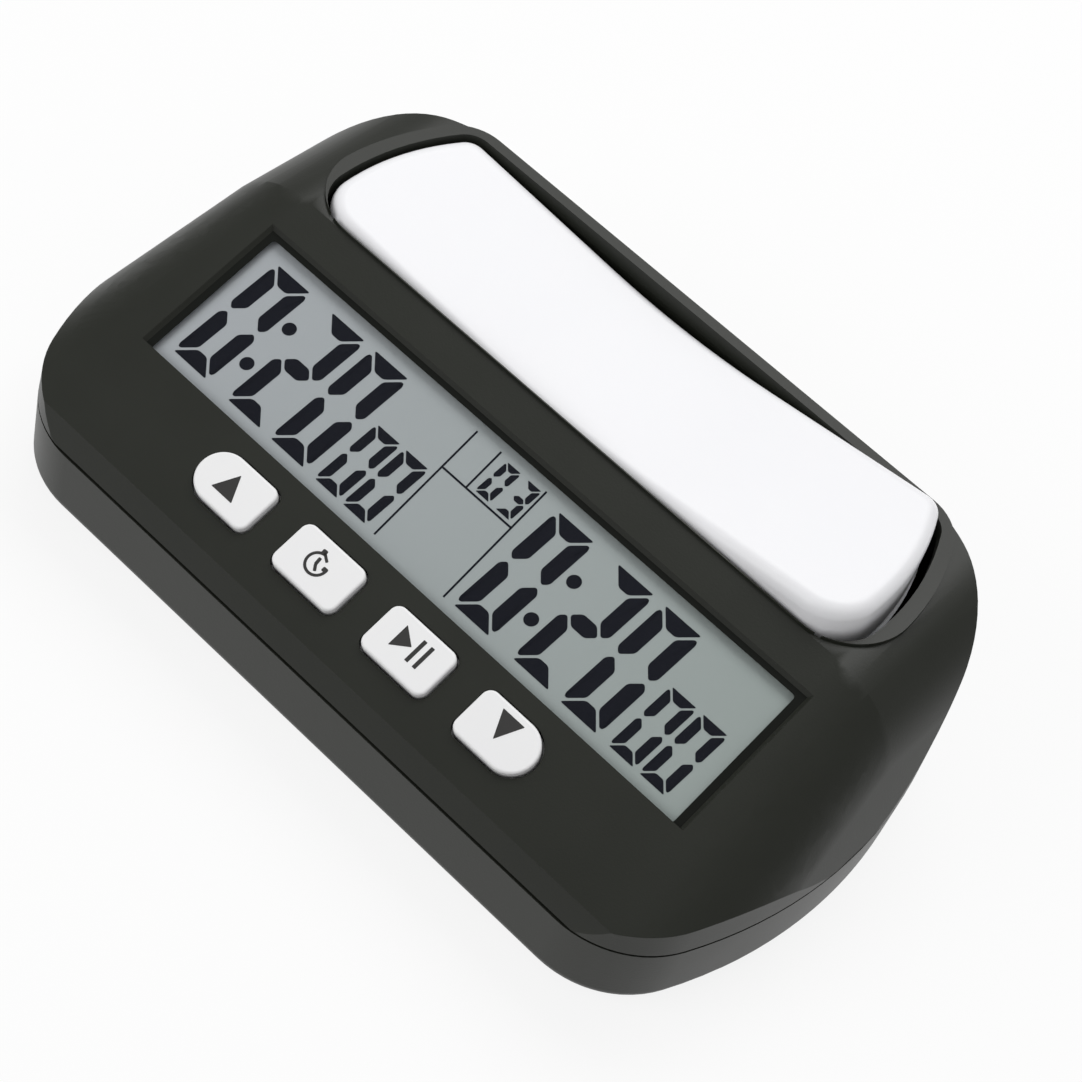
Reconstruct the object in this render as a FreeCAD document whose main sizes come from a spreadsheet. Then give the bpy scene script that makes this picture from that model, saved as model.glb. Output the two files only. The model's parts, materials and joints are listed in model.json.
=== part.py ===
import FreeCAD, Part
import math
import os
import Sketcher
from FreeCAD import Placement, Rotation, Vector

# Digital chess clock with a two-winged rocker lever.  Millimetres, +Z up, X along the length, front at -Y.
# The origin is the centre of the ground plane under the clock.  Pieces that follow the sloping panel are
# drawn level, with the origin at the centre of the display face, and then tilted by their Placement.

doc = FreeCAD.newDocument("chess_clock")
sheet = doc.addObject("Spreadsheet::Sheet", "Sizes")

SIZES = {
    # plan of the case at the parting line
    "case_length": 135.8, "case_depth": 80.0, "end_radius": 71.0, "end_centre_y": -1.7,
    "front_corner": 16.0, "back_corner": 26.0,
    # heights
    "foot_height": 1.0, "lower_height": 12.5, "wall": 2.0, "floor": 2.2, "lower_wall": 2.5,
    "wall_draft": 3.0, "seam_height": 0.4, "seam_depth": 0.5, "tongue_height": 1.5, "tongue_wall": 1.0,
    "tongue_gap": 0.15, "tongue_inset": 3.1,
    # sloping panel and level deck behind it
    "panel_angle": 20.0, "panel_height": 27.3, "display_y": -11.1, "display_sink": 1.5, "deck_front_y": 6.4,
    "crease_y": -38.1, "crease_lean": 25.0,
    "shoulder_start": 50.1, "shoulder_radius": 15.0, "shoulder_lean": 20.0, "bottom_round": 2.5,
    # display
    "view_width": 99.2, "view_height": 23.8, "view_trim_back": 0.8, "recess_flare_x": 2.1,
    "recess_flare_back": 1.3, "recess_flare_front": 0.2,
    "window_width": 105.0, "window_height": 26.4, "window_thick": 0.8,
    "pocket_gap": 0.2, "stack_gap": 0.1, "glass_width": 102.0, "glass_height": 25.6, "glass_thick": 2.0,
    "reflector_thick": 0.3, "frame_wall": 1.0, "frame_gap": 0.2, "strip_width": 2.0, "strip_length": 92.0,
    "peg_radius": 0.7, "peg_fit": 0.1, "peg_end": 0.4, "peg_from_end": 6.0,
    # main board
    "board_width": 105.0, "board_front": -25.5, "board_back": 14.5, "board_thick": 1.6, "board_drop": 5.0,
    "ear_reach": 59.5, "ear_y": 4.0, "ear_width": 8.0, "board_boss": 2.8, "board_screw_x": 46.0,
    "board_screw_y": -21.5, "ear_screw_x": 56.0, "small_screw": 1.0, "small_way": 0.2, "small_head": 2.0,
    "small_head_height": 1.2, "small_grip": 3.2, "sub_grip": 4.0,
    "chip_x": 40.0, "chip_y": 2.0, "chip_length": 14.0, "chip_width": 12.0, "chip_thick": 0.8,
    "chip_cap_radius": 5.0, "crystal_x": 37.0, "crystal_y": 11.0, "crystal_radius": 1.0, "crystal_length": 6.0,
    "capacitor_x": -40.0, "capacitor_y": 2.5, "capacitor_pitch": 9.0, "capacitor_radius": 2.5,
    "capacitor_height": 6.0,
    # key caps
    "key_height": 7.9, "key_width": 11.8, "key_pitch": 17.2, "outer_key_end": 31.6, "key_y": -19.25,
    "key_shift": 0.25,
    "key_corner": 1.5, "key_proud": 1.0, "key_gap": 0.35, "key_flange": 0.6, "flange_thick": 1.2,
    "key_round": 0.4, "mat_thick": 1.0, "dome_radius": 3.0,
    # rocker lever
    "rocker_half": 50.3, "rocker_front": 7.1, "rocker_back": 36.4, "rocker_end_radius": 42.0,
    "rocker_end_y": 16.0, "rocker_front_corner": 7.0, "rocker_back_corner": 3.5, "rocker_tilt": 2.5,
    "rocker_wing": 6.5, "rocker_low": 2.5, "rocker_blend": 137.0, "rocker_apex": 7.0, "rocker_skirt": 11.0,
    "rocker_skin": 2.2, "rocker_wall": 2.0, "opening_side": 0.5, "opening_end": 1.1,
    "lip_height": 0.5, "lip_end": 3.4, "lip_back": 2.3,
    # pivot
    "axle_radius": 1.5, "pivot_fit": 0.05, "hub_radius": 4.2, "hub_half": 4.25, "post_gap": 0.5,
    "post_thick": 3.0, "post_half_width": 4.0, "post_above": 3.0, "clip_gap": 0.2, "clip_thick": 0.6,
    "clip_radius": 3.0, "axle_end": 0.3,
    # switches under the wings
    "switch_x": 30.0, "switch_size": 6.0, "switch_height": 3.5, "plunger_radius": 1.75, "plunger_travel": 0.5,
    "plunger_gap": 0.2, "pusher_length": 3.0, "pusher_width": 6.0, "pusher_reach": 4.0,
    "sub_board_length": 76.0, "sub_board_width": 8.0, "sub_board_z": 8.0, "sub_post_x": 18.0,
    "sub_post_radius": 2.6, "plunger_seat": 1.8,
    # battery bay
    "cell_radius": 7.25, "cell_length": 50.5, "cell_y": -5.5, "cell_lift": 0.6, "bay_wall": 1.5,
    "bay_gap": 0.5, "bay_rise": 12.0, "spring_space": 3.2, "plate_thick": 0.5,
    "door_gap": 0.3, "door_thick": 2.0, "knuckle_gap": 0.25, "pin_radius": 0.7, "pin_length": 1.2,
    "finger_length": 12.0, "finger_width": 4.0, "finger_depth": 0.7, "finger_inset": 2.5,
    "nub_radius": 2.6, "nub_length": 1.5, "coil_radius": 5.0, "coil_taper": 0.4, "coil_step": 0.55,
    "wire_radius": 0.4, "contact_thick": 0.4, "contact_width": 10.0, "contact_height": 11.0,
    "lead_radius": 0.5, "lead_length": 4.0, "ribbon_width": 8.0, "ribbon_thick": 0.5, "ribbon_x": 11.0,
    "ribbon_gap": 2.8,
    # case screws, feet, sound and power
    "post_radius": 3.2, "front_post_x": 57.0, "front_post_y": -21.0, "back_post_x": 59.5, "back_post_y": 20.0,
    "screw_radius": 1.3, "screw_head": 2.3, "screw_head_height": 1.8, "screw_grip": 5.0, "screw_sink": 7.0,
    "screw_fit": 0.05, "head_gap": 0.4, "slot_length": 2.6, "slot_width": 0.6, "slot_depth": 0.9,
    "foot_radius": 4.0, "foot_sink": 0.5, "foot_x": 48.0, "foot_front_y": -29.0, "foot_back_y": 29.0,
    "buzzer_radius": 8.0, "buzzer_height": 3.0, "buzzer_x": 44.0, "buzzer_y": -5.0, "buzzer_wall": 1.0,
    "disc_thick": 0.5, "sound_hole": 0.8, "sound_ring": 3.4,
    "power_x": -44.0, "power_y": -5.0, "power_travel": 3.0, "knob_length": 3.6, "knob_width": 3.0,
    "knob_gap": 0.3, "knob_sink": 0.4, "knob_reach": 0.8,
}
DERIVED = {
    "parting_z": "=foot_height + lower_height",
    "floor_top": "=foot_height + floor",
    "display_z": "=panel_height - display_sink / cos(panel_angle)",
    "deck_z": "=panel_height + (deck_front_y - display_y) * tan(panel_angle)",
    "pivot_z": "=deck_z - rocker_low - rocker_apex",
    "pivot_y": "=(rocker_front + rocker_back) / 2",
    "crease_z": "=panel_height - (display_y - crease_y) * tan(panel_angle)",
    "window_face": "=window_thick + stack_gap",
    "panel_under": "=display_sink - wall",
}
for row, (name, value) in enumerate(list(SIZES.items()) + list(DERIVED.items()), 1):
    sheet.set("A%d" % row, name)
    sheet.set("B%d" % row, str(value))
    sheet.setAlias("B%d" % row, name)
doc.recompute()


def size(name):
    return float(sheet.get(name))


def sized(text):
    """An expression in which each word that is a sheet name is read from the sheet."""
    out = ""
    word = ""
    for letter in text + " ":
        if letter.isalnum() or letter == "_":
            word += letter
            continue
        out += "Sizes." + word if word in SIZES or word in DERIVED else word
        out += letter
        word = ""
    return out.strip()


def bind(item, **properties):
    for name, text in properties.items():
        item.setExpression(name.replace("__", "."), sized(str(text)))
    return item


def at(item, x, y, z):
    return bind(item, Placement__Base__x=x, Placement__Base__y=y, Placement__Base__z=z)


def box(name, length, width, height, x, y, z):
    """A block centred on x and y that stands on z."""
    item = doc.addObject("Part::Box", name)
    bind(item, Length=length, Width=width, Height=height)
    return at(item, "%s - (%s) / 2" % (x, length), "%s - (%s) / 2" % (y, width), z)


def rod(name, radius, height, x, y, z, turn=None):
    """A cylinder that starts at x, y, z and runs up, or along the axis that turn brings +Z to."""
    item = doc.addObject("Part::Cylinder", name)
    if turn:
        item.Placement = Placement(Vector(), turn)
    bind(item, Radius=radius, Height=height)
    return at(item, x, y, z)


ALONG_X = Rotation(Vector(0, 1, 0), 90)
ALONG_Y = Rotation(Vector(1, 0, 0), -90)


def fuse(name, *pieces):
    item = doc.addObject("Part::MultiFuse", name)
    item.Shapes = list(pieces)
    return item


def cut(name, base, *tools):
    item = doc.addObject("Part::Cut", name)
    item.Base = base
    item.Tool = tools[0] if len(tools) == 1 else fuse(name + "_tools", *tools)
    return item


def common(name, *pieces):
    item = doc.addObject("Part::MultiCommon", name)
    item.Shapes = list(pieces)
    return item


def group(name, *pieces):
    item = doc.addObject("Part::Compound", name)
    item.Links = list(pieces)
    return item


def on_panel(item):
    """Tilts a piece that was drawn level about the centre of the display face."""
    item.Placement = Placement(Vector(0, 0, 0), Rotation(Vector(1, 0, 0), size("panel_angle")))
    return at(item, "0", "display_y", "display_z")


def sketch(body, name, plane, height="0"):
    item = body.newObject("Sketcher::SketchObject", name)
    face = [feature for feature in body.Origin.OriginFeatures if feature.Role == plane][0]
    item.AttachmentSupport = [(face, "")]
    item.MapMode = "FlatFace"
    bind(item, AttachmentOffset__Base__z=height)
    return item


def polygon(body, name, plane, points, height="0"):
    """A closed sketch of straight lines, each corner held at its two distances from the origin."""
    item = sketch(body, name, plane, height)
    count = len(points)
    for index in range(count):
        here = Vector(index, index * index, 0)
        there = Vector((index + 1) % count, ((index + 1) % count) ** 2, 0)
        item.addGeometry(Part.LineSegment(here, there))
    for index, (x, y) in enumerate(points):
        item.addConstraint(Sketcher.Constraint("Coincident", index, 2, (index + 1) % count, 1))
    for index, (x, y) in enumerate(points):
        for kind, text in (("DistanceX", x), ("DistanceY", y)):
            number = item.addConstraint(Sketcher.Constraint(kind, -1, 1, index, 1, 1.0 + index))
            item.setExpression("Constraints[%d]" % number, sized(text))
    return item


def outline(body, name, height, front, back, half, end_radius, end_y, front_corner, back_corner, inset=0.0):
    """A barrel-ended plan: straight front and back, bulging ends, round corners, drawn in by the inset."""
    item = sketch(body, name, "XY_Plane", height)
    end_x = half - end_radius
    corners = []
    for line_y, corner in ((front + front_corner, front_corner), (back - back_corner, back_corner)):
        reach = end_radius - corner
        corner_x = end_x + math.sqrt(reach ** 2 - (line_y - end_y) ** 2)
        turn = math.atan2(line_y - end_y, corner_x - end_x)
        corners.append((corner_x, line_y, corner - inset, turn))
    (fx, fy, fr, fa), (bx, by, br, ba) = corners
    quarter = math.pi / 2
    up = Vector(0, 0, 1)

    def arc(x, y, radius, start, stop):
        return Part.ArcOfCircle(Part.Circle(Vector(x, y, 0), up, radius), start, stop)

    curves = [
        Part.LineSegment(Vector(-fx, fy - fr, 0), Vector(fx, fy - fr, 0)),
        arc(fx, fy, fr, -quarter, fa),
        arc(end_x, end_y, end_radius - inset, fa, ba),
        arc(bx, by, br, ba, quarter),
        Part.LineSegment(Vector(bx, by + br, 0), Vector(-bx, by + br, 0)),
        arc(-bx, by, br, quarter, math.pi - ba),
        arc(-end_x, end_y, end_radius - inset, math.pi - ba, math.pi - fa),
        arc(-fx, fy, fr, math.pi - fa, 3 * quarter),
    ]
    for curve in curves:
        item.addGeometry(curve)
    for index in range(len(curves)):
        item.addConstraint(Sketcher.Constraint("Coincident", index, 2, (index + 1) % len(curves), 1))
    return item


def case_outline(body, name, height, inset=0.0):
    half_depth = size("case_depth") / 2
    return outline(body, name, height, -half_depth, half_depth, size("case_length") / 2, size("end_radius"),
                   size("end_centre_y"), size("front_corner"), size("back_corner"), inset)


def rocker_outline(body, name, height, end=0.0, front=0.0, back=0.0, corner=0.0):
    return outline(body, name, height, size("rocker_front") - front, size("rocker_back") + back,
                   size("rocker_half") + end, size("rocker_end_radius"), size("rocker_end_y"),
                   size("rocker_front_corner") + corner, size("rocker_back_corner") + corner)


def pad(body, name, profile, length, taper="0"):
    item = body.newObject("PartDesign::Pad", name)
    item.Profile = profile
    bind(item, Length=length, TaperAngle=taper)
    body.Tip = item
    return item


def trim(body, name, profile):
    """A cut right through the body, both ways from the sketch."""
    item = body.newObject("PartDesign::Pocket", name)
    item.Profile = profile
    item.Type = "ThroughAll"
    item.Midplane = True
    body.Tip = item
    return item


def round_edges(body, base, name, radius, wanted):
    """A fillet on each edge of the base whose bounding box is wanted."""
    doc.recompute()
    edges = ["Edge%d" % number for number, edge in enumerate(base.Shape.Edges, 1) if wanted(edge.BoundBox)]
    item = body.newObject("PartDesign::Fillet", name)
    item.Base = (base, edges)
    bind(item, Radius=radius)
    body.Tip = item
    return item


def new_body(name):
    return doc.addObject("PartDesign::Body", name)


def prism(name, draw, height, length, **sizes):
    body = new_body(name)
    pad(body, name + "_pad", draw(body, name + "_plan", height, **sizes), length)
    return body


def shoulders(name, inset):
    """What lies above the rounded ends: it runs down with the panel in front and level behind."""
    start = size("shoulder_start")
    radius = size("shoulder_radius") - inset
    top = size("deck_z") - inset
    slope = math.radians(size("panel_angle"))
    middle = Vector(start, size("deck_front_y") + inset * math.tan(slope / 2), top - radius)
    stop = math.radians(size("shoulder_lean"))
    turn = (math.pi / 2 + stop) / 2
    far = size("case_length")
    high = 2 * size("deck_z")
    front = []
    rear = []
    for side in (1, -1):
        def point(x, z):
            return Vector(side * x, middle.y, z)
        tip = point(middle.x + radius * math.cos(stop), middle.z + radius * math.sin(stop))
        half = point(middle.x + radius * math.cos(turn), middle.z + radius * math.sin(turn))
        low = point(abs(tip.x) + high * math.sin(stop), tip.z - high * math.cos(stop))
        crown = point(start, top)
        corners = [tip, low, point(far, low.z), point(far, high), point(start, high), crown]
        edges = [Part.Arc(crown, half, tip).toShape()]
        edges += [Part.LineSegment(a, b).toShape() for a, b in zip(corners, corners[1:])]
        face = Part.Face(Part.Wire(edges))
        # spreading as it runs down, so that it meets the end walls at the parting line all the way
        spread = side * math.sin(slope) * math.tan(stop)
        front.append(face.extrude(Vector(spread, -math.cos(slope), -math.sin(slope)) * far))
        rear.append(face.extrude(Vector(0, far, 0)))
    items = []
    for end, pieces in (("_front", front), ("_rear", rear)):
        item = doc.addObject("Part::Feature", name + end)
        item.Shape = Part.makeCompound(pieces)
        items.append(item)
    return items


def upper_block(name, inset):
    """The upper half of the case as one block, drawn in all round by the inset."""
    body = new_body(name + "_block")
    text = str(inset)
    mitre = "%s / (1 + sin(panel_angle + crease_lean))" % text
    plan = case_outline(body, name + "_plan", "parting_z", inset)
    pad(body, name + "_walls", plan, "deck_z", "-wall_draft")
    side = polygon(body, name + "_side", "YZ_Plane", [
        ("crease_y - case_depth * sin(crease_lean) + %s * (sin(panel_angle) + cos(crease_lean))" % mitre,
         "crease_z - case_depth * cos(crease_lean) - %s * (cos(panel_angle) + sin(crease_lean))" % mitre),
        ("crease_y + %s * (sin(panel_angle) + cos(crease_lean))" % mitre,
         "crease_z - %s * (cos(panel_angle) + sin(crease_lean))" % mitre),
        ("deck_front_y + %s * tan(panel_angle / 2)" % text, "deck_z - %s" % text),
        ("case_depth", "deck_z - %s" % text),
        ("case_depth", "3 * deck_z"),
        ("-2 * case_depth", "3 * deck_z"),
        ("-2 * case_depth", "crease_z - case_depth * cos(crease_lean)"),
    ])
    trim(body, name + "_top", side)
    front, rear = shoulders(name + "_shoulders", inset)
    return cut(name, cut(name + "_sloped", body, front), rear)


# ---------------------------------------------------------------- upper shell
outer = upper_block("upper_outer", 0.0)
inner = upper_block("upper_inner", size("wall"))
shell = cut("upper_shell", outer, inner)

lip = prism("lip", rocker_outline, "deck_z - wall", "wall + lip_height",
            end=size("lip_end"), front=size("rocker_front") - size("deck_front_y"), back=size("lip_back"),
            corner=4.0)
opening = prism("rocker_opening", rocker_outline, "parting_z", "deck_z",
                end=size("opening_end"), front=size("opening_side"), back=size("opening_side"), corner=0.5)
seam = cut("seam_ring", prism("seam_outside", case_outline, "parting_z", "seam_height", inset=-1.0),
           prism("seam_inside", case_outline, "parting_z", "seam_height", inset=size("seam_depth")))

POSTS = [(side + end + "_post_x", end + "_post_y") for side in ("", "-") for end in ("front", "back")]
upper_posts = []
pilot_holes = []
for number, (x, y) in enumerate(POSTS):
    upper_posts.append(rod("upper_post_%d" % number, "post_radius", "deck_z", x, y, "parting_z"))
    pilot_holes.append(rod("pilot_%d" % number, "screw_radius + screw_fit", "screw_grip + 0.5", x, y,
                           "parting_z - 0.5"))


def key_plan(body, name, height, left, right, round_left, round_right, grow=0.0):
    """A key's plan: one end may be a full half round."""
    item = sketch(body, name, "XY_Plane", height)
    low = size("key_y") - size("key_height") / 2 - grow
    high = size("key_y") + size("key_height") / 2 + grow
    left += size("key_shift") - grow
    right += size("key_shift") + grow
    full = (high - low) / 2 - 0.01
    small = size("key_corner") + grow
    radii = [full if round_left else small, full if round_right else small,
             full if round_right else small, full if round_left else small]
    spots = [(left, low, 180), (right, low, 270), (right, high, 0), (left, high, 90)]
    ends = []
    for (x, y, angle), radius in zip(spots, radii):
        middle = Vector(x + radius if x == left else x - radius, y + radius if y == low else y - radius, 0)
        circle = Part.Circle(middle, Vector(0, 0, 1), radius)
        start = math.radians(angle)
        ends.append(Part.ArcOfCircle(circle, start, start + math.pi / 2))
    for index, curve in enumerate(ends):
        item.addGeometry(curve)
        item.addGeometry(Part.LineSegment(curve.EndPoint, ends[(index + 1) % 4].StartPoint))
    for index in range(8):
        item.addConstraint(Sketcher.Constraint("Coincident", index, 2, (index + 1) % 8, 1))
    return item


inner_edge = 1.5 * size("key_pitch") - size("key_width") / 2
KEYS = {
    "key_up": (-size("outer_key_end"), -inner_edge, True, False),
    "key_timer": (-(size("key_pitch") + size("key_width")) / 2, -(size("key_pitch") - size("key_width")) / 2,
                  False, False),
    "key_play_pause": ((size("key_pitch") - size("key_width")) / 2,
                       (size("key_pitch") + size("key_width")) / 2, False, False),
    "key_down": (inner_edge, size("outer_key_end"), False, True),
}


def key_prism(name, key, height, length, grow=0.0):
    body = new_body(name)
    left, right, round_left, round_right = KEYS[key]
    plan = key_plan(body, name + "_plan", height, left, right, round_left, round_right, grow)
    pad(body, name + "_pad", plan, length)
    return body


key_holes = [key_prism(key + "_hole", key, "panel_under - 1", "wall + 3", size("key_gap")) for key in KEYS]

recess = doc.addObject("Part::Wedge", "recess")
bind(recess, Xmin="-view_width / 2", Xmax="view_width / 2", Ymin="-0.5", Ymax="display_sink + 0.01",
     Zmin="-view_height / 2 + view_trim_back", Zmax="view_height / 2",
     X2min="-view_width / 2 - recess_flare_x", X2max="view_width / 2 + recess_flare_x",
     Z2min="-view_height / 2 - recess_flare_back", Z2max="view_height / 2 + recess_flare_front")
recess.Placement = Placement(Vector(), Rotation(Vector(1, 0, 0), 90))
window_seat = box("window_seat", "window_width + 2 * pocket_gap", "window_height + 2 * pocket_gap",
                  "window_face + wall", "0", "0", "-wall")
board_bosses = []
boss_holes = []
BOARD_SCREWS = [("-board_screw_x", "board_screw_y"), ("board_screw_x", "board_screw_y"),
                ("-ear_screw_x", "ear_y"), ("ear_screw_x", "ear_y")]
for number, (x, y) in enumerate(BOARD_SCREWS):
    board_bosses.append(rod("board_boss_%d" % number, "board_boss", "board_drop + panel_under + 1", x, y,
                            "-board_drop"))
    boss_holes.append(rod("boss_hole_%d" % number, "small_screw + screw_fit", "3.5", x, y, "-board_drop"))
panel_cuts = on_panel(fuse("panel_cuts", recess, window_seat, *(key_holes + boss_holes)))
upper_solid = common("upper_solid", outer, fuse("upper_parts", shell, on_panel(fuse("bosses", *board_bosses)),
                                                *upper_posts))
top_case = cut("top_case", fuse("upper_with_lip", upper_solid, lip), opening, seam, panel_cuts, *pilot_holes)

# ---------------------------------------------------------------- lower shell
lower_body = new_body("lower_block")
lower_plan = case_outline(lower_body, "lower_plan", "foot_height")
lower_pad = pad(lower_body, "lower_pad", lower_plan, "lower_height")
round_edges(lower_body, lower_pad, "bottom_fillet", "bottom_round",
            lambda z: z.ZMax < size("foot_height") + 0.01)
lower_hollow = prism("lower_hollow", case_outline, "floor_top", "lower_height", inset=size("lower_wall"))
tongue_inset = size("tongue_inset")
tongue = cut("tongue",
             fuse("tongue_outside",
                  prism("tongue_top", case_outline, "parting_z - 0.5", "0.5 + tongue_height",
                        inset=tongue_inset),
                  prism("tongue_root", case_outline, "parting_z - 3", "3", inset=size("lower_wall") - 0.5)),
             prism("tongue_inside", case_outline, "parting_z - 4", "5 + tongue_height",
                   inset=tongue_inset + size("tongue_wall")))
lower_posts = []
post_ways = []
screw_wells = []
screws = []
for number, (x, y) in enumerate(POSTS):
    lower_posts.append(rod("lower_post_%d" % number, "post_radius + 0.4", "parting_z - foot_height - 1", x, y,
                           "foot_height + 1"))
    post_ways.append(rod("post_way_%d" % number, "post_radius + tongue_gap", "tongue_height + 1", x, y,
                         "parting_z"))
    screw_wells.append(rod("screw_well_%d" % number, "screw_head + head_gap", "screw_sink", x, y,
                           "foot_height"))
    screw_wells.append(rod("screw_way_%d" % number, "screw_radius + screw_fit", "lower_height", x, y,
                           "foot_height"))
    head_z = "foot_height + screw_sink - screw_head_height"
    shank = rod("shank_%d" % number, "screw_radius",
                "parting_z + screw_grip - 1 - foot_height - screw_sink + 0.5", x, y,
                "foot_height + screw_sink - 0.5")
    head = rod("head_%d" % number, "screw_head", "screw_head_height", x, y, head_z)
    slot_a = box("slot_a_%d" % number, "slot_length", "slot_width", "slot_depth + 0.1", x, y,
                 "%s - 0.1" % head_z)
    slot_b = box("slot_b_%d" % number, "slot_width", "slot_length", "slot_depth + 0.1", x, y,
                 "%s - 0.1" % head_z)
    screws.append(cut("screw_%d" % number, fuse("screw_body_%d" % number, shank, head), slot_a, slot_b))
case_screws = group("case_screws", *screws)

# pivot posts, one each side of the hub
post_y = "hub_half + post_gap + post_thick / 2"
pivot_posts = []
for side, sign in (("front", "-"), ("rear", "+")):
    here = "pivot_y %s (%s)" % (sign, post_y)
    pivot_posts.append(box("pivot_post_" + side, "2 * post_half_width", "post_thick",
                           "pivot_z + post_above - foot_height - 1", "0", here, "foot_height + 1"))
axle_hole = rod("axle_hole", "axle_radius + pivot_fit / 2", "40", "0", "pivot_y - 20", "pivot_z", ALONG_Y)
sub_posts = []
sub_holes = []
for number, x in enumerate(("-sub_post_x", "sub_post_x")):
    sub_posts.append(rod("sub_post_%d" % number, "sub_post_radius", "sub_board_z - foot_height - 1", x, "pivot_y",
                         "foot_height + 1"))
    sub_holes.append(rod("sub_hole_%d" % number, "small_screw + screw_fit", "4.5", x, "pivot_y",
                         "sub_board_z - 4.5"))

# battery bay over a hatch in the floor
cell_z = "foot_height + door_thick + cell_lift + cell_radius"
bay_length = "cell_length + spring_space + plate_thick + bay_gap"
bay_x = "(plate_thick - spring_space) / 2"
bay_depth = "2 * cell_radius + 2 * bay_gap"
bay = cut("bay",
          box("bay_outside", "%s + 2 * bay_wall" % bay_length, "%s + 2 * bay_wall" % bay_depth, "bay_rise",
              bay_x, "cell_y", "foot_height + 1"),
          box("bay_inside", bay_length, bay_depth, "bay_rise + 2", bay_x, "cell_y", "foot_height"))
door_length = "(%s) - 1" % bay_length
door_depth = "(%s) - 1" % bay_depth
hinge_y = "cell_y + (%s) / 2" % door_depth
hinge_z = "foot_height + door_thick / 2"
door_gap = box("door_gap_cut", "%s + 2 * door_gap" % door_length,
               "%s + door_gap + door_thick / 2 + knuckle_gap" % door_depth, "floor + 1", bay_x,
               "cell_y + (door_thick / 2 + knuckle_gap - door_gap) / 2", "foot_height - 0.5")
pin_start = "%s - (%s) / 2" % (bay_x, door_length)
knuckle = rod("knuckle", "door_thick / 2", door_length, pin_start, hinge_y, hinge_z, ALONG_X)
hinge_pin = rod("hinge_pin", "pin_radius", "%s + 2 * pin_length" % door_length, pin_start + " - pin_length",
                hinge_y, hinge_z, ALONG_X)
pin_hole = rod("pin_hole", "pin_radius + pivot_fit", "%s + 2 * pin_length + 0.6" % door_length,
               pin_start + " - pin_length - 0.3", hinge_y, hinge_z, ALONG_X)
finger_dip = box("finger_dip", "finger_length", "finger_width", "finger_depth + 0.1", bay_x,
                 "cell_y - (%s) / 2 + finger_inset" % door_depth, "foot_height - 0.1")
door_plate = box("door_plate", door_length, door_depth, "door_thick", bay_x, "cell_y", "foot_height")
battery_door = cut("battery_door", fuse("door_parts", door_plate, knuckle, hinge_pin), finger_dip)

foot_spots = [(x, y) for x in ("-foot_x", "foot_x") for y in ("foot_front_y", "foot_back_y")]
feet = []
foot_seats = []
for number, (x, y) in enumerate(foot_spots):
    feet.append(rod("foot_%d" % number, "foot_radius", "foot_height + foot_sink", x, y, "0"))
    foot_seats.append(rod("foot_seat_%d" % number, "foot_radius", "foot_sink + 0.5", x, y,
                          "foot_height - 0.5"))
rubber_feet = group("rubber_feet", *feet)

sound_holes = [rod("sound_hole_0", "sound_hole", "4", "buzzer_x", "buzzer_y", "foot_height - 0.5")]
for number in range(6):
    turn = "%d" % (60 * number)
    sound_holes.append(rod("sound_hole_%d" % (number + 1), "sound_hole", "4",
                           "buzzer_x + sound_ring * cos(%s)" % turn, "buzzer_y + sound_ring * sin(%s)" % turn,
                           "foot_height - 0.5"))
knob_slot = box("knob_slot", "knob_length + power_travel + 2 * knob_gap", "knob_width + 2 * knob_gap", "4",
                "power_x + power_travel / 2", "power_y", "foot_height - 0.5")
knob_dip = box("knob_dip", "knob_length + power_travel + 4", "knob_width + 3", "1.5",
               "power_x + power_travel / 2", "power_y", "foot_height - 0.5")
lower_parts = fuse("lower_parts", cut("lower_shell", lower_body, lower_hollow), tongue, bay,
                   *(lower_posts + pivot_posts + sub_posts))
bottom_case = cut("bottom_case", lower_parts, axle_hole, door_gap, pin_hole, knob_slot, knob_dip,
                  *(screw_wells + post_ways + sub_holes + foot_seats + sound_holes))

# ---------------------------------------------------------------- rocker lever, drawn with both wings level
def rocker_profile(body, name, drop, close_up):
    """Both wings seen from the front, with the round bend between them, closed far above or below."""
    item = sketch(body, name, "XZ_Plane")
    tilt = math.radians(size("rocker_wing"))
    apex = size("rocker_apex") - drop
    far = size("rocker_half") + 10
    rise = far * math.tan(tilt)
    edge = 60 if close_up else -60
    bend_x = size("rocker_blend") * math.sin(tilt)
    bend_z = apex + bend_x * math.tan(tilt)
    middle = Vector(0, bend_z + size("rocker_blend") * math.cos(tilt), 0)
    circle = Part.Circle(middle, Vector(0, 0, 1), size("rocker_blend"))
    item.addGeometry(Part.LineSegment(Vector(-far, apex + rise, 0), Vector(-bend_x, bend_z, 0)))
    item.addGeometry(Part.ArcOfCircle(circle, -math.pi / 2 - tilt, -math.pi / 2 + tilt))
    item.addGeometry(Part.LineSegment(Vector(bend_x, bend_z, 0), Vector(far, apex + rise, 0)))
    item.addGeometry(Part.LineSegment(Vector(far, apex + rise, 0), Vector(far, edge, 0)))
    item.addGeometry(Part.LineSegment(Vector(far, edge, 0), Vector(-far, edge, 0)))
    item.addGeometry(Part.LineSegment(Vector(-far, edge, 0), Vector(-far, apex + rise, 0)))
    for index in range(6):
        item.addConstraint(Sketcher.Constraint("Coincident", index, 2, (index + 1) % 6, 1))
    return item


rocker_body = new_body("rocker_skin")
pad(rocker_body, "rocker_walls", rocker_outline(rocker_body, "rocker_plan", "-20"), "60")
trim(rocker_body, "rocker_tops", rocker_profile(rocker_body, "rocker_top_line", 0.0, True))
trim(rocker_body, "rocker_bottoms",
     rocker_profile(rocker_body, "rocker_low_line", size("rocker_skirt"), False))
hollow_body = new_body("rocker_hollow")
wall = size("rocker_wall")
pad(hollow_body, "hollow_walls",
    rocker_outline(hollow_body, "hollow_plan", "-25", end=-wall, front=-wall, back=-wall, corner=-wall), "60")
trim(hollow_body, "hollow_tops", rocker_profile(hollow_body, "hollow_top_line", size("rocker_skin"), True))

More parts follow.
